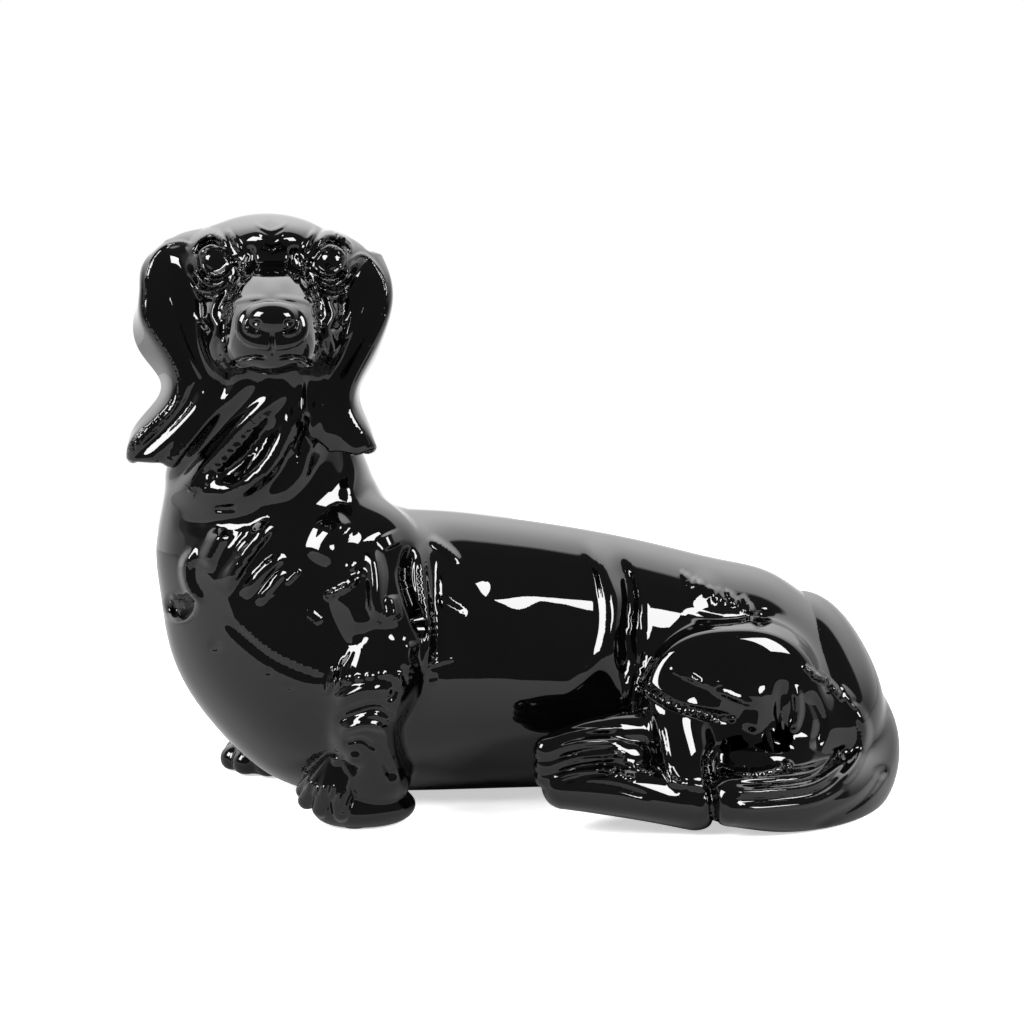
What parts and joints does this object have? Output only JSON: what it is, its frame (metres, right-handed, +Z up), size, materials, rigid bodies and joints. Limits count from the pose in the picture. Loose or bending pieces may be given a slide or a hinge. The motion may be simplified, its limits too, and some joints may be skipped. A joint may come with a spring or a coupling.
{
  "type": "ceramic dog figurine",
  "caption": "Glossy black ceramic dachshund at rest, head turned to its left, long hanging ears, hind legs folded to one side and tail laid round the rump.",
  "frame": {"origin": "on the table top, below the middle of the whole figure", "axes": "+Z up, -X towards the chest, so that the body runs along X, and -Y towards the left flank, which the face looks over"},
  "size_m": [0.3813, 0.1855, 0.3083],
  "materials": {
    "black_glaze": "deep black, high-gloss transparent-looking glaze",
    "felt": "dark grey pressed felt"
  },
  "bodies": {
    "root": {"trunk": "black_glaze", "head": "black_glaze", "ear_left": "black_glaze", "ear_right": "black_glaze", "foreleg_left": "black_glaze", "foreleg_right": "black_glaze", "hind_leg_left": "black_glaze", "hind_leg_right": "black_glaze", "tail": "black_glaze", "felt_pads": "felt"}
  },
  "joints": []
}
